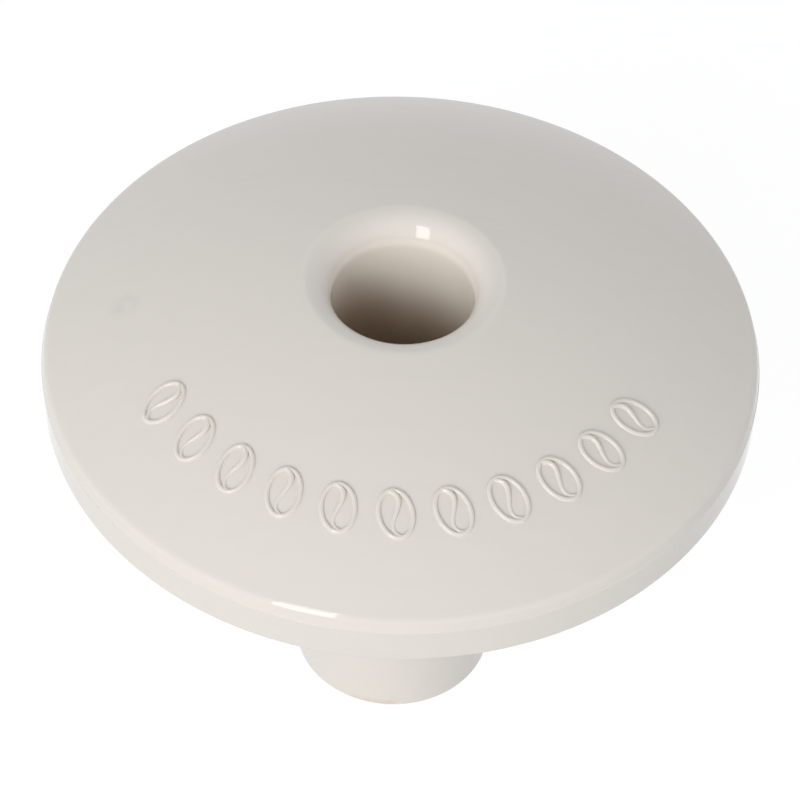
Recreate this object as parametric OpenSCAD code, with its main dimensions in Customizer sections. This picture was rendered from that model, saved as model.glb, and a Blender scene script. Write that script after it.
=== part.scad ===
// Finger guard of a coffee grinder: a domed cap on a hollow stem, moulded as one piece.
// Millimetres, +Z up, with the origin at the centre of the stem's foot.

/* [Cap] */
// Diameter of the cap at the mould's parting line
cap_d = 65; // [50:0.5:85]
// Radius of curvature of the domed top
dome_r = 61; // [45:0.5:120]
// Radius of the edge where the dome turns down into the shoulder
shoulder_r = 0.85; // [0.3:0.05:3]
// Height of the shoulder from the parting line up to that edge
shoulder_h = 0.8; // [0.2:0.1:3]
// Lean of the shoulder towards the axis, in degrees
shoulder_lean = 7.5; // [0:0.5:20]
// Step inwards on the radius above the parting line
parting_step = 0.12; // [0:0.01:0.3]
// Height of the rim band below the parting line
rim_h = 3.5; // [2:0.1:8]
// Draft on the outside of the rim band, which narrows downwards, in degrees
rim_draft = 1.8; // [0:0.1:5]
// Radius on the rim's outer lower edge
rim_edge_r = 0.4; // [0.1:0.05:0.8]
// Chamfer on the rim's inner lower edge
rim_edge_chamfer = 0.3; // [0.1:0.05:0.8]

/* [Hollow] */
// Wall of the cap
wall = 2.2; // [1.2:0.1:3]
// Radius in the corner between the top and the side of the hollow
hollow_corner_r = 0.8; // [0.2:0.1:3]
// Draft on the side of the hollow, which widens downwards, in degrees
hollow_draft = 1.5; // [0:0.1:4]
// Radius of the fillet where the stem runs into the underside of the cap
root_r = 2; // [0.5:0.1:4]

/* [Stem] */
// Outer diameter of the stem
stem_d = 18.7; // [16:0.1:24]
// Height of the stem from its foot to the parting line
stem_h = 40.2; // [15:0.1:70]
// Diameter of the bore through the stem
bore_d = 12.8; // [8:0.1:14.4]
// Radius of the lip that rolls from the dome into the bore
lip_r = 2.6; // [0.5:0.05:4]
// Radius on the edges of the stem's foot
foot_edge_r = 0.4; // [0.1:0.05:0.7]

/* [Hidden] */
$fn = 180;

// Levels and radii that the cap is drawn from
parting_z = stem_h;
rim_z = parting_z - rim_h;
cap_r = cap_d / 2;
bore_r = bore_d / 2;
stem_r = stem_d / 2;

// Point at a distance r and an angle a from the point c
function around(c, r, a) = c + r * [cos(a), sin(a)];

// Top of the shoulder, and the centre of the edge that rolls over from it to the dome
shoulder_top = [cap_r - parting_step - shoulder_h * tan(shoulder_lean), parting_z + shoulder_h];
shoulder_c = around(shoulder_top, -shoulder_r, shoulder_lean);

// The dome's centre lies on the axis, so that the dome meets that edge in one tangent
dome_z = shoulder_c[1] - sqrt(pow(dome_r - shoulder_r, 2) - pow(shoulder_c[0], 2));

// Centre of an arc of radius r at x from the axis, which touches a dome of radius crown_r
// from inside
function under_dome(crown_r, r, x) = [x, dome_z + sqrt(pow(crown_r - r, 2) - pow(x, 2))];

// Angle at the dome's centre of a line through the point p
function dome_angle(p) = atan2(p[1] - dome_z, p[0]);

// Overlap of a cut past the face that it opens
cut = 1;

// Height by which an arc stands over its neighbours, and the angle by which it runs under them
stand_over = 0.0005;
run_under = 15;

// Slice of a disc about c, of radius r, from the angle a0 to the angle a1. It stands a hair over
// the faces that it touches, and runs a little under them, so that the outline closes in one
module arc_corner(c, r, a0, a1) {
  from = a0 - run_under;
  to = a1 + run_under;
  reach = 2 * r;
  intersection() {
    translate(c) circle(r + stand_over);
    polygon([c, around(c, reach, from), around(c, reach, (from + to) / 2), around(c, reach, to)]);
  }
}

// Half section of a domed ring, whose outline is one run of tangent arcs: up the wall at in_r,
// over an arc of radius in_arc_r, along the dome, over an arc of radius out_arc_r about out_c
// to a side that leans by out_lean, and down to the points in foot
module domed_ring(in_r, in_arc_r, crown_r, out_c, out_arc_r, out_lean, foot) {
  in_c = under_dome(crown_r, in_arc_r, in_r + in_arc_r);
  in_a = dome_angle(in_c);
  out_a = dome_angle(out_c);
  dome_c = [0, dome_z];
  reach = 2 * crown_r;

  intersection() {
    translate(dome_c) circle(crown_r);
    polygon(concat(
      [[in_r, in_c[1]], in_c, around(dome_c, reach, in_a)],
      [around(dome_c, reach, out_a), out_c, around(out_c, out_arc_r, out_lean)],
      foot
    ));
  }
  arc_corner(in_c, in_arc_r, in_a, 180);
  arc_corner(out_c, out_arc_r, out_lean, out_a);
}

// The cap as if it were solid down to the rim's lower edge, with the lip at the bore's mouth
module cap_outline() {
  edge_x = cap_r - (rim_h - rim_edge_r) * tan(rim_draft) - rim_edge_r / cos(rim_draft);
  edge_c = [edge_x, rim_z + rim_edge_r];
  domed_ring(
    bore_r, lip_r, dome_r, shoulder_c, shoulder_r, shoulder_lean,
    [
      [cap_r - parting_step, parting_z],
      [cap_r, parting_z],
      around(edge_c, rim_edge_r, -rim_draft),
      edge_c,
      [edge_x, rim_z],
      [bore_r, rim_z]
    ]
  );
  arc_corner(edge_c, rim_edge_r, -90, -rim_draft);
}

// The hollow under the cap, open at the rim, with the stem left standing
module hollow_outline() {
  crown_r = dome_r - wall;
  corner_c = under_dome(crown_r, hollow_corner_r, cap_r - wall - hollow_corner_r);
  side_top = around(corner_c, hollow_corner_r, hollow_draft);
  mouth_z = rim_z + rim_edge_chamfer;
  mouth_r = side_top[0] + (side_top[1] - mouth_z) * tan(hollow_draft);
  domed_ring(
    stem_r, root_r, crown_r, corner_c, hollow_corner_r, hollow_draft,
    [
      [mouth_r, mouth_z],
      [mouth_r + rim_edge_chamfer, rim_z],
      [mouth_r + rim_edge_chamfer, rim_z - cut],
      [stem_r, rim_z - cut]
    ]
  );
}

// The wall of the stem, with both edges of its foot rounded
module stem_outline() {
  e = foot_edge_r;
  polygon([
    [bore_r, parting_z], [bore_r, e], [bore_r + e, e], [bore_r + e, 0],
    [stem_r - e, 0], [stem_r - e, e], [stem_r, e], [stem_r, parting_z]
  ]);
  translate([bore_r + e, e]) circle(e);
  translate([stem_r - e, e]) circle(e);
}

// The whole moulding, turned from its half section
module finger_guard() {
  color([0.89, 0.87, 0.84])
  rotate_extrude()
  union() {
    difference() {
      cap_outline();
      hollow_outline();
    }
    stem_outline();
  }
}

finger_guard();
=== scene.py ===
# Finger guard of a coffee grinder: one glossy warm white moulding, standing on its stem.
# Metres, +Z up, with the origin at the centre of the stem's foot.
from math import atan2, cos, pi, radians, sin, sqrt, tan

import bpy
from mathutils import Matrix, Vector


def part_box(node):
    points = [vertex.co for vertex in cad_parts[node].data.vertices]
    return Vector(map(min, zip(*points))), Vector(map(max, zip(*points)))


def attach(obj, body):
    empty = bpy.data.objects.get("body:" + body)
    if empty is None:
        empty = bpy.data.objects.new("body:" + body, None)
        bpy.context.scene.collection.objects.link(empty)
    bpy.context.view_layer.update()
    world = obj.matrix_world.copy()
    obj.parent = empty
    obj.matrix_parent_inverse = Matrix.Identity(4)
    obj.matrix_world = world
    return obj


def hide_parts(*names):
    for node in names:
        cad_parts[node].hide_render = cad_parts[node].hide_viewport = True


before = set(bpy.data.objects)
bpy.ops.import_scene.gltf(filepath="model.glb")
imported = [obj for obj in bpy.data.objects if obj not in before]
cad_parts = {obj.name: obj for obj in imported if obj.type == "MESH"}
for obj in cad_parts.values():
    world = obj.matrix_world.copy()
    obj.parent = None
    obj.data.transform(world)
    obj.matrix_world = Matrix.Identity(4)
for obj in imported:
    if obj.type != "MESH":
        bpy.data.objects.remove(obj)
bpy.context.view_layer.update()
mm = 0.001


# The moulding
# The whole guard is one injection moulding in a glossy warm white plastic: domed cap, rim, rolled
# lip and hollow stem. It is drawn as half a section and turned once round its axis. The plastic
# flowed in from the gate on the right. The inside of the bore is painted: paler than the plastic
# near its mouth as painted light, and darker and browner deeper down and on its left wall as
# painted shade.
class Reading:
    """A value that varies over the piece, taken from one output of a node."""

    def __init__(self, tree, socket):
        self.tree = tree
        self.socket = socket

    def __add__(self, other):
        return self.tree.maths("ADD", self, other)

    def __radd__(self, other):
        return self.tree.maths("ADD", other, self)

    def __sub__(self, other):
        return self.tree.maths("SUBTRACT", self, other)

    def __rsub__(self, other):
        return self.tree.maths("SUBTRACT", other, self)

    def __mul__(self, other):
        return self.tree.maths("MULTIPLY", self, other)

    def __rmul__(self, other):
        return self.tree.maths("MULTIPLY", other, self)

    def __pow__(self, other):
        return self.tree.maths("POWER", self, other)

    def part(self, output):
        """Another output of the same node."""
        return Reading(self.tree, self.socket.node.outputs[output])


class Tree:
    """A node tree that is written one node at a time."""

    def __init__(self, nodes, links):
        self.nodes = nodes
        self.links = links

    def node(self, kind, settings=None, sockets=None, output=0):
        """Adds a node: its settings first, then the values or links of its sockets."""
        made = self.nodes.new(kind)
        for name, value in (settings or {}).items():
            setattr(made, name, value)
        for name, value in (sockets or {}).items():
            self.feed(made.inputs[name], value)
        return Reading(self, made.outputs[output])

    def feed(self, socket, value):
        """Sets a socket to a value, or links a reading to it."""
        if isinstance(value, Reading):
            self.links.new(value.socket, socket)
        else:
            socket.default_value = value

    def maths(self, operation, first, second):
        return self.node("ShaderNodeMath", {"operation": operation}, {0: first, 1: second})

    def fade(self, value, start, end):
        """Smooth step of a reading, from 0 at start to 1 at end."""
        settings = {"interpolation_type": "SMOOTHSTEP"}
        sockets = {"Value": value, "From Min": start, "From Max": end}
        return self.node("ShaderNodeMapRange", settings, sockets)

    def mix(self, share, under, over):
        """One colour laid over another by a share from 0 to 1."""
        sockets = {0: share, 6: under, 7: over}
        return self.node("ShaderNodeMix", {"data_type": "RGBA"}, sockets, 2)

    def clouds(self, place, scale, detail):
        """Soft noise from 0 to 1, with a scale for each axis."""
        stretched = self.node("ShaderNodeMapping", None, {"Vector": place, "Scale": scale})
        sockets = {"Vector": stretched, "Scale": 1, "Detail": detail}
        return self.node("ShaderNodeTexNoise", None, sockets)


guard_low, guard_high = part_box("finger_guard")
cap_r = (guard_high.x - guard_low.x) / 2
stem_h = 40.2 * mm
dome_r = 61 * mm
shoulder_r = 0.9 * mm
shoulder_h = 0.85 * mm
shoulder_lean = radians(12)
parting_step = 0.03 * mm
parting_break = parting_step / 3
rim_h = 3.63 * mm
rim_draft = radians(1.6)
rim_edge_r = 0.2 * mm
rim_edge_chamfer = 0.3 * mm
wall = 2.2 * mm
hollow_corner_r = 0.8 * mm
hollow_draft = radians(1.5)
root_r = 2 * mm
stem_r = 9.35 * mm
bore_r = 6.4 * mm
lip_r = 2.6 * mm
foot_edge_r = 0.2 * mm
edge_break = 0.02 * mm
mouth_break = 0.1 * mm
run_guard = 0.05 * mm
shortest_run = 4 * run_guard
same_point = 1e-9
lip_steps = 28
dome_steps = 48
shoulder_steps = 20
hollow_steps = 32
root_steps = 20
edge_steps = 12
break_steps = 6
turn_steps = 300


def around(centre, radius, angle):
    return centre + radius * Vector((cos(angle), sin(angle)))


def arc(centre, radius, start, end, steps):
    """Points along an arc, set closer towards its ends, where it meets its neighbours."""
    shares = [(1 - cos(pi * step / steps)) / 2 for step in range(steps + 1)]
    return [around(centre, radius, start + (end - start) * share) for share in shares]


def broken_corner(before, corner, after, radius):
    """Small arc that breaks a corner between two straight runs."""
    to_before = (before - corner).normalized()
    to_after = (after - corner).normalized()
    half = to_before.angle(to_after) / 2
    centre = corner + (to_before + to_after).normalized() * (radius / sin(half))
    first = corner + to_before * (radius / tan(half)) - centre
    last = corner + to_after * (radius / tan(half)) - centre
    start = atan2(first.y, first.x)
    sweep = (atan2(last.y, last.x) - start + pi) % (2 * pi) - pi
    return arc(centre, radius, start, start + sweep, break_steps)


def closed_outline(arcs):
    """Runs the arcs together, with a point near each end of every straight run between them."""
    points = []
    for index, points_of_arc in enumerate(arcs):
        points += points_of_arc
        run_end = arcs[(index + 1) % len(arcs)][0]
        run = run_end - points[-1]
        if run.length > shortest_run:
            along = run.normalized() * run_guard
            points += [points[-1] + along, run_end - along]
    return [
        point
        for index, point in enumerate(points)
        if (point - points[index - 1]).length > same_point
    ]


rim_z = stem_h - rim_h
shoulder_top_r = cap_r - parting_step - shoulder_h * tan(shoulder_lean)
shoulder_top = Vector((shoulder_top_r, stem_h + shoulder_h))
shoulder_c = around(shoulder_top, -shoulder_r, shoulder_lean)
dome_c = Vector((0, shoulder_c.y - sqrt((dome_r - shoulder_r) ** 2 - shoulder_c.x**2)))


def under_dome(crown_r, radius, x):
    """Centre of an arc at x from the axis that touches a dome of radius crown_r from inside."""
    return Vector((x, dome_c.y + sqrt((crown_r - radius) ** 2 - x**2)))


def dome_angle(point):
    return atan2(point.y - dome_c.y, point.x)


lip_c = under_dome(dome_r, lip_r, bore_r + lip_r)
rim_edge_x = cap_r - (rim_h - rim_edge_r) * tan(rim_draft) - rim_edge_r / cos(rim_draft)
rim_edge_c = Vector((rim_edge_x, rim_z + rim_edge_r))
hollow_r = dome_r - wall
corner_c = under_dome(hollow_r, hollow_corner_r, cap_r - wall - hollow_corner_r)
root_c = under_dome(hollow_r, root_r, stem_r + root_r)
side_top = around(corner_c, hollow_corner_r, hollow_draft)
mouth_z = rim_z + rim_edge_chamfer
mouth_r = side_top.x + (side_top.y - mouth_z) * tan(hollow_draft)

step_inside = Vector((cap_r - parting_step, stem_h))
step_outside = Vector((cap_r, stem_h))
rim_inside = Vector((mouth_r + rim_edge_chamfer, rim_z))
mouth_corner = Vector((mouth_r, mouth_z))
rim_side = around(rim_edge_c, rim_edge_r, -rim_draft)
rim_foot = rim_edge_c - Vector((0, rim_edge_r))
foot_in_c = Vector((bore_r + foot_edge_r, foot_edge_r))
foot_out_c = Vector((stem_r - foot_edge_r, foot_edge_r))

half_section = closed_outline(
    [
        arc(lip_c, lip_r, pi, dome_angle(lip_c), lip_steps),
        arc(dome_c, dome_r, dome_angle(lip_c), dome_angle(shoulder_c), dome_steps),
        arc(shoulder_c, shoulder_r, dome_angle(shoulder_c), shoulder_lean, shoulder_steps),
        broken_corner(shoulder_top, step_inside, step_outside, parting_break),
        broken_corner(step_inside, step_outside, rim_side, edge_break),
        arc(rim_edge_c, rim_edge_r, -rim_draft, -pi / 2, edge_steps),
        broken_corner(rim_foot, rim_inside, mouth_corner, mouth_break),
        broken_corner(rim_inside, mouth_corner, side_top, mouth_break),
        arc(corner_c, hollow_corner_r, hollow_draft, dome_angle(corner_c), edge_steps),
        arc(dome_c, hollow_r, dome_angle(corner_c), dome_angle(root_c), hollow_steps),
        arc(root_c, root_r, dome_angle(root_c), pi, root_steps),
        arc(foot_out_c, foot_edge_r, 0, -pi / 2, edge_steps),
        arc(foot_in_c, foot_edge_r, -pi / 2, -pi, edge_steps),
    ]
)


def shape_tree(name, sizes):
    """A Geometry Nodes tree with a geometry input, named inputs for its sizes, and one output."""
    group = bpy.data.node_groups.new(name, "GeometryNodeTree")
    group.interface.new_socket("Shape", in_out="INPUT", socket_type="NodeSocketGeometry")
    for size, kind in sizes.items():
        group.interface.new_socket(size, in_out="INPUT", socket_type=kind)
    group.interface.new_socket("Shape", in_out="OUTPUT", socket_type="NodeSocketGeometry")
    tree = Tree(group.nodes, group.links)
    given = tree.node("NodeGroupInput")
    result = tree.nodes.new("NodeGroupOutput")
    return group, tree, given, result


def dress(tree, given, result, shape):
    """Ends a shape tree: smooth shading, one whole mesh, and its finish."""
    smooth = tree.node("GeometryNodeSetShadeSmooth", None, {"Geometry": shape})
    whole = tree.node("GeometryNodeRealizeInstances", None, {"Geometry": smooth})
    sockets = {"Geometry": whole, "Material": given.part("Finish")}
    tree.feed(result.inputs[0], tree.node("GeometryNodeSetMaterial", None, sockets))


def grown(name, mesh, group, values):
    """Runs a shape tree on a mesh, with its inputs set, and keeps the result as a plain mesh."""
    piece = bpy.data.objects.new(name, mesh)
    bpy.context.scene.collection.objects.link(piece)
    modifier = piece.modifiers.new(name, "NODES")
    modifier.node_group = group
    for socket in group.interface.items_tree:
        if socket.in_out == "INPUT" and socket.name in values:
            modifier[socket.identifier] = values[socket.name]
    evaluated = piece.evaluated_get(bpy.context.evaluated_depsgraph_get())
    result = bpy.data.meshes.new_from_object(evaluated)
    piece.modifiers.remove(modifier)
    piece.data = result
    result.name = name
    return piece


turning_sizes = {
    "Steps round": "NodeSocketInt",
    "Finish": "NodeSocketMaterial",
}
turning, tree, given, result = shape_tree("turned_section", turning_sizes)
section_curve = tree.node("GeometryNodeMeshToCurve", None, {"Mesh": given.part("Shape")})
ring_sockets = {"Resolution": given.part("Steps round"), "Radius": bore_r}
axis_ring = tree.node("GeometryNodeCurvePrimitiveCircle", None, ring_sockets)
level_ring = tree.node("GeometryNodeSetCurveNormal", {"mode": "Z_UP"}, {"Curve": axis_ring})
turned = tree.node(
    "GeometryNodeCurveToMesh", None, {"Curve": level_ring, "Profile Curve": section_curve}
)
dress(tree, given, result, turned)


warm_white = (0.766, 0.713, 0.65, 1)
flow_white = (0.756, 0.705, 0.644, 1)
flow_scale = (60, 900, 900)
flow_detail = 3
flow_from = 0.3
flow_to = 0.7
flow_bump = 0.12
flow_depth = 0.01 * mm
gloss = 0.025
gloss_patchy = 0.02
patch_scale = (140, 140, 140)
patch_detail = 4

# Painted light and shade inside the bore: a colour paler than the plastic near the mouth, fading
# to a darker brown deeper down and higher up on the left wall.
bore_painted_light = (0.88, 0.82, 0.74, 1)
bore_painted_shade = (0.51, 0.395, 0.295, 1)
bore_skin_from = bore_r + 0.02 * mm
bore_skin_to = bore_r + 0.3 * mm
bore_painted_light_z = 44 * mm
bore_painted_shade_z = 34.5 * mm
bore_shade_lean = 0.75
bore_shade_even = 0.85
bore_shade_patchy = 0.3

rubbed_grey = (0.52, 0.5, 0.48, 1)
rub_x = -24.8 * mm
rub_y = 0
rub_r = 2.1 * mm
rub_core_r = rub_r / 4
rub_share = 0.25
rub_dull = 0.4
speck_scale = (700, 700, 700)
speck_detail = 3
speck_from = 0.25
speck_to = 0.75

foot_yellow = (0.66, 0.55, 0.36, 1)
foot_stain_h = 1 * mm
foot_stain_full_h = foot_stain_h / 4
foot_stain_from = -4.2 * mm
foot_stain_to = 1 * mm
foot_stain_edge = 1 * mm
foot_front_from = -4 * mm
foot_front_to = -2 * mm
foot_patch_from = 0.1
foot_patch_to = 0.6
foot_stain_share = 0.7
foot_stain_dull = 0.3

plastic = bpy.data.materials.new("warm_white_plastic")
plastic.use_nodes = True
tree = Tree(plastic.node_tree.nodes, plastic.node_tree.links)
shader = tree.nodes["Principled BSDF"]
place = tree.node("ShaderNodeTexCoord", output="Object")
along = tree.node("ShaderNodeSeparateXYZ", None, {0: place})
x, y, z = along, along.part("Y"), along.part("Z")

flow = tree.clouds(place, flow_scale, flow_detail)
patches = tree.clouds(place, patch_scale, patch_detail)
specks = tree.clouds(place, speck_scale, speck_detail)

axis_reach = (x * x + y * y) ** 0.5
# Painted shade in the bore: darker deeper down and reaching higher on its left wall, patchy, with
# painted light towards the mouth.
bore_side = 1 - tree.fade(axis_reach, bore_skin_from, bore_skin_to)
leftwards = tree.maths("MAXIMUM", 0 - x, 0)
bore_shade_z = z - bore_shade_lean * leftwards
bore_shade_share = 1 - tree.fade(bore_shade_z, bore_painted_shade_z, bore_painted_light_z)
bore_shade_share = bore_shade_share * (bore_shade_even + bore_shade_patchy * patches)

rub_reach = ((x - rub_x) * (x - rub_x) + (y - rub_y) * (y - rub_y)) ** 0.5
rub_specks = tree.fade(specks, speck_from, speck_to)
rubbed = (1 - tree.fade(rub_reach, rub_core_r, rub_r)) * rub_specks * rub_share

foot_front = 1 - tree.fade(y, foot_front_from, foot_front_to)
foot_low = 1 - tree.fade(z, foot_stain_full_h, foot_stain_h)
foot_left = tree.fade(x, foot_stain_from, foot_stain_from + foot_stain_edge)
foot_right = 1 - tree.fade(x, foot_stain_to - foot_stain_edge, foot_stain_to)
foot_patches = tree.fade(patches, foot_patch_from, foot_patch_to)
stained = foot_front * foot_low * foot_left * foot_right * foot_patches * foot_stain_share

colour = tree.mix(tree.fade(flow, flow_from, flow_to), warm_white, flow_white)
# The bore's painted light and painted shade go over the plastic's colour.
colour = tree.mix(bore_side, colour, tree.mix(bore_shade_share, bore_painted_light, bore_painted_shade))
colour = tree.mix(rubbed, colour, rubbed_grey)
colour = tree.mix(stained, colour, foot_yellow)
tree.feed(shader.inputs["Base Color"], colour)
dullness = gloss + gloss_patchy * patches + rub_dull * rubbed + foot_stain_dull * stained
tree.feed(shader.inputs["Roughness"], dullness)
ripple_sockets = {"Height": flow, "Strength": flow_bump, "Distance": flow_depth}
tree.feed(shader.inputs["Normal"], tree.node("ShaderNodeBump", None, ripple_sockets))

section_mesh = bpy.data.meshes.new("half_section")
section_mesh.from_pydata(
    [(point.x - bore_r, -point.y, 0) for point in half_section],
    [(index, (index + 1) % len(half_section)) for index in range(len(half_section))],
    [],
)
moulding = grown(
    "guard_moulding", section_mesh, turning, {"Steps round": turn_steps, "Finish": plastic}
)
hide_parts("finger_guard")
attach(moulding, "root")


# The raised beans
# A row of small coffee beans is moulded on the front of the dome, each a thin raised outline with
# its crease. They are the same plastic as the cap, and follow its curve.
bean_count = 11
bean_row_r = 23.8 * mm
bean_first = radians(-150)
bean_sweep = radians(120)
bean_length = 4 * mm
bean_width = 2.9 * mm
bean_tilt = radians(18)
bean_unit_r = 0.5
bean_steps = 48
crease_bow = 0.62
crease_pull = 0.1
crease_steps = 24
stroke_r = 0.23 * mm
stroke_steps = 12

bean_sizes = {
    "Beans": "NodeSocketInt",
    "Row radius": "NodeSocketFloat",
    "First angle": "NodeSocketFloat",
    "Sweep": "NodeSocketFloat",
    "Length": "NodeSocketFloat",
    "Width": "NodeSocketFloat",
    "Tilt": "NodeSocketFloat",
    "Stroke": "NodeSocketFloat",
    "Finish": "NodeSocketMaterial",
}
beans, tree, given, result = shape_tree("bean_row", bean_sizes)
ring_sockets = {"Resolution": bean_steps, "Radius": bean_unit_r}
ring = tree.node("GeometryNodeCurvePrimitiveCircle", None, ring_sockets)
crease = tree.node(
    "GeometryNodeCurvePrimitiveBezierSegment",
    None,
    {
        "Resolution": crease_steps,
        "Start": (-bean_unit_r, 0, 0),
        "Start Handle": (-crease_pull, crease_bow, 0),
        "End Handle": (crease_pull, -crease_bow, 0),
        "End": (bean_unit_r, 0, 0),
    },
)
bean = tree.node("GeometryNodeJoinGeometry")
for line in (ring, crease):
    tree.feed(bean.socket.node.inputs[0], line)
bean_scale = tree.node(
    "ShaderNodeCombineXYZ", None, {0: given.part("Length"), 1: given.part("Width"), 2: 1}
)
bean = tree.node("GeometryNodeTransform", None, {"Geometry": bean, "Scale": bean_scale})
row = tree.node(
    "GeometryNodeCurveArc",
    None,
    {
        "Resolution": given.part("Beans"),
        "Radius": given.part("Row radius"),
        "Start Angle": given.part("First angle"),
        "Sweep Angle": given.part("Sweep"),
    },
)
places = tree.node("GeometryNodeCurveToPoints", {"mode": "EVALUATED"}, {"Curve": row})
step = tree.node("GeometryNodeInputIndex")
step_share = tree.maths("DIVIDE", 1, given.part("Beans") - 1)
angle = given.part("First angle") + step * given.part("Sweep") * step_share
turn = tree.node("ShaderNodeCombineXYZ", None, {2: angle + given.part("Tilt")})
rotation = tree.node("FunctionNodeEulerToRotation", None, {0: turn})
set_out = tree.node(
    "GeometryNodeInstanceOnPoints",
    None,
    {"Points": places, "Instance": bean, "Rotation": rotation},
)
flat_row = tree.node("GeometryNodeRealizeInstances", None, {"Geometry": set_out})
here = tree.node("ShaderNodeSeparateXYZ", None, {0: tree.node("GeometryNodeInputPosition")})
across = here * here + here.part("Y") * here.part("Y")
on_dome = tree.node(
    "ShaderNodeCombineXYZ",
    None,
    {0: here, 1: here.part("Y"), 2: dome_c.y + (dome_r**2 - across) ** 0.5},
)
laid = tree.node("GeometryNodeSetPosition", None, {"Geometry": flat_row, "Position": on_dome})
stroke_sockets = {"Resolution": stroke_steps, "Radius": given.part("Stroke")}
stroke = tree.node("GeometryNodeCurvePrimitiveCircle", None, stroke_sockets)
raised = tree.node(
    "GeometryNodeCurveToMesh", None, {"Curve": laid, "Profile Curve": stroke, "Fill Caps": True}
)
dress(tree, given, result, raised)

bean_values = {
    "Beans": bean_count,
    "Row radius": bean_row_r,
    "First angle": bean_first,
    "Sweep": bean_sweep,
    "Length": bean_length,
    "Width": bean_width,
    "Tilt": bean_tilt,
    "Stroke": stroke_r,
    "Finish": plastic,
}
bean_row = grown("raised_beans", bpy.data.meshes.new("raised_beans"), beans, bean_values)
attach(bean_row, "root")


# The table
# A plain pale sheet that the guard stands on, a hair below its foot. To the camera it is white but
# for the guard's shadow.
table_half = 0.75
table_gap = 0.02 * mm
table_z = guard_low.z - table_gap
table_colour = 0.5
table_white_share = 0.75
table_white = 1.22

table_corners = [(-1, -1), (1, -1), (1, 1), (-1, 1)]
table_mesh = bpy.data.meshes.new("table")
table_mesh.from_pydata(
    [(side * table_half, end * table_half, table_z) for side, end in table_corners],
    [],
    [(0, 1, 2, 3)],
)
table = bpy.data.objects.new("table", table_mesh)
bpy.context.scene.collection.objects.link(table)


def backdrop_share(tree):
    """1 for a ray that sees the backdrop, from the camera or by gloss or glass, and 0 for the
    light that falls on the guard."""
    ray = tree.node("ShaderNodeLightPath")
    seen = ray.part("Is Camera Ray") + ray.part("Is Glossy Ray") + ray.part("Is Transmission Ray")
    return tree.maths("MINIMUM", seen, 1)


paper = bpy.data.materials.new("pale_paper")
paper.use_nodes = True
tree = Tree(paper.node_tree.nodes, paper.node_tree.links)
tree.nodes.clear()
sheet = tree.node(
    "ShaderNodeBsdfDiffuse", None, {"Color": (table_colour, table_colour, table_colour, 1)}
)
white = tree.node("ShaderNodeEmission", None, {"Color": (1, 1, 1, 1), "Strength": table_white})
white_share = backdrop_share(tree) * table_white_share
paper_mix = tree.node("ShaderNodeMixShader", None, {0: white_share, 1: sheet, 2: white})
paper_end = tree.nodes.new("ShaderNodeOutputMaterial")
tree.feed(paper_end.inputs["Surface"], paper_mix)
table_mesh.materials.append(paper)


# The light
# A tall strip stands at the front left, brightest in its middle, and its sharp reflection shows on
# the lip and on the cap's edge. A soft panel hangs behind. The room is bright low down and dim
# overhead, and the plastic's gloss reflects a white backdrop.
lamp_colour = (1, 0.995, 0.98)
strip_azimuth = radians(-115.46)
strip_rise = radians(34.65)
strip_distance = 1.6
strip_w = 0.446
strip_h = 1.593
strip_faces = Vector((0.041, 0.987, -0.157))
strip_brightness = 5.2
middle_share = 1 / 3
middle_brightness = 4.7
panel_rise = radians(49)
panel_distance = 1.6
panel_w = 0.37
panel_h = 0.33
panel_brightness = 0.5
room_colour = (0.975, 1, 1.045, 1)
room_low = 1
room_high = 0.21
room_low_to = sin(radians(24))
room_high_from = sin(radians(62))


def direction(azimuth, rise):
    return Vector((cos(rise) * cos(azimuth), cos(rise) * sin(azimuth), sin(rise)))


def lamp(name, centre, faces, along, width, length, brightness):
    """A rectangular lamp of a given brightness, that faces one way and is long another way."""
    light = bpy.data.lights.new(name, "AREA")
    light.shape = "RECTANGLE"
    light.size = width
    light.size_y = length
    light.energy = brightness * pi * width * length
    light.color = lamp_colour
    placed = bpy.data.objects.new(name, light)
    bpy.context.scene.collection.objects.link(placed)
    back = -faces.normalized()
    across = along.cross(back).normalized()
    turn = Matrix((across, back.cross(across), back)).transposed().to_4x4()
    placed.matrix_world = Matrix.Translation(centre) @ turn


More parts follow.
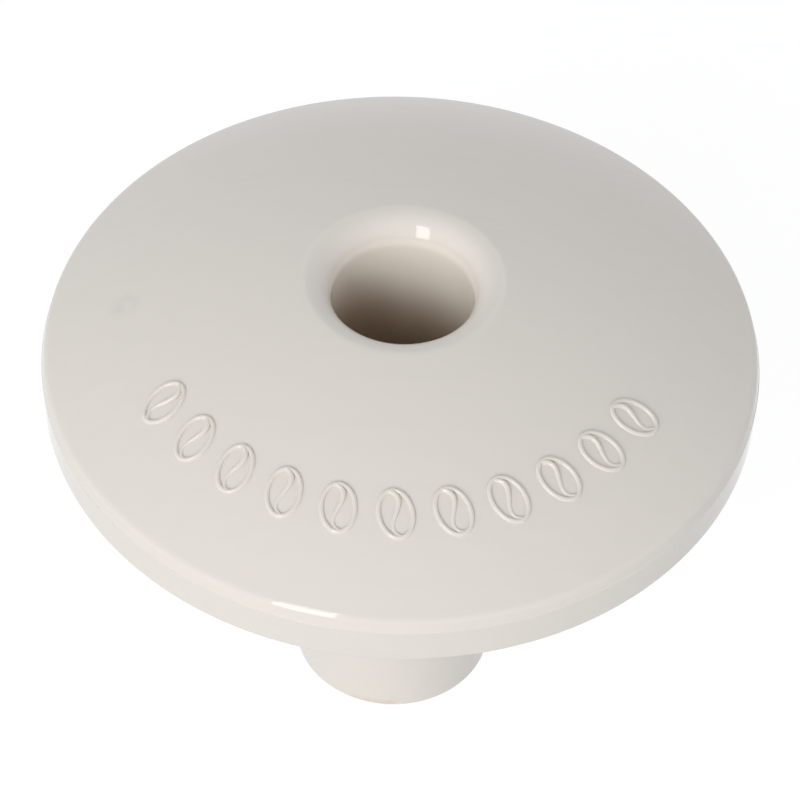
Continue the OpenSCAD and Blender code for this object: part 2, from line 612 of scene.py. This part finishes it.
upright = Vector((0, 0, 1))
strip_centre = direction(strip_azimuth, strip_rise) * strip_distance
panel_centre = direction(pi / 2, panel_rise) * panel_distance
lamp("strip_lamp", strip_centre, strip_faces, upright, strip_w, strip_h, strip_brightness)
middle_h = strip_h * middle_share
lamp("strip_middle", strip_centre, strip_faces, upright, strip_w, middle_h, middle_brightness)
lamp("panel_lamp", panel_centre, -panel_centre, upright, panel_w, panel_h, panel_brightness)

room = bpy.data.worlds.new("room")
room.use_nodes = True
tree = Tree(room.node_tree.nodes, room.node_tree.links)
tree.nodes.clear()
sky = tree.node("ShaderNodeTexCoord", output="Generated")
height = tree.node("ShaderNodeSeparateXYZ", None, {0: sky}, "Z")
overhead = tree.fade(height, room_low_to, room_high_from)
room_strength = room_low - overhead * (room_low - room_high)
room_sockets = {"Color": room_colour, "Strength": room_strength}
room_light = tree.node("ShaderNodeBackground", None, room_sockets)
backdrop = tree.node("ShaderNodeBackground", None, {"Color": (1, 1, 1, 1), "Strength": 1})
room_mix = tree.node(
    "ShaderNodeMixShader", None, {0: backdrop_share(tree), 1: room_light, 2: backdrop}
)
room_end = tree.nodes.new("ShaderNodeOutputWorld")
tree.feed(room_end.inputs["Surface"], room_mix)
bpy.context.scene.world = room


# The view
# The photograph looks down on the guard from its front, through a long lens, with the picture
# turned a little clockwise.
view_rise = radians(48.242)
picture_turn = radians(1.826)
view_distance = 363.02 * mm
view_right = 0.051 * mm
view_down = 4.279 * mm
lens_mm = 180.2
sensor_mm = 36
nearest_seen = 10 * mm

forward = Vector((0, cos(view_rise), -sin(view_rise)))
level_up = Vector((0, sin(view_rise), cos(view_rise)))
level_right = Vector((1, 0, 0))
picture_right = level_right * cos(picture_turn) + level_up * sin(picture_turn)
picture_up = level_up * cos(picture_turn) - level_right * sin(picture_turn)

camera = bpy.data.objects.new("camera", bpy.data.cameras.new("camera"))
bpy.context.scene.collection.objects.link(camera)
camera.data.lens = lens_mm
camera.data.sensor_width = sensor_mm
camera.data.clip_start = nearest_seen
camera_turn = Matrix((picture_right, picture_up, -forward)).transposed().to_4x4()
aim = Vector((0, 0, stem_h)) + level_right * view_right - level_up * view_down
camera.matrix_world = Matrix.Translation(aim - forward * view_distance) @ camera_turn
bpy.context.scene.camera = camera
bpy.context.scene.view_settings.view_transform = "Standard"
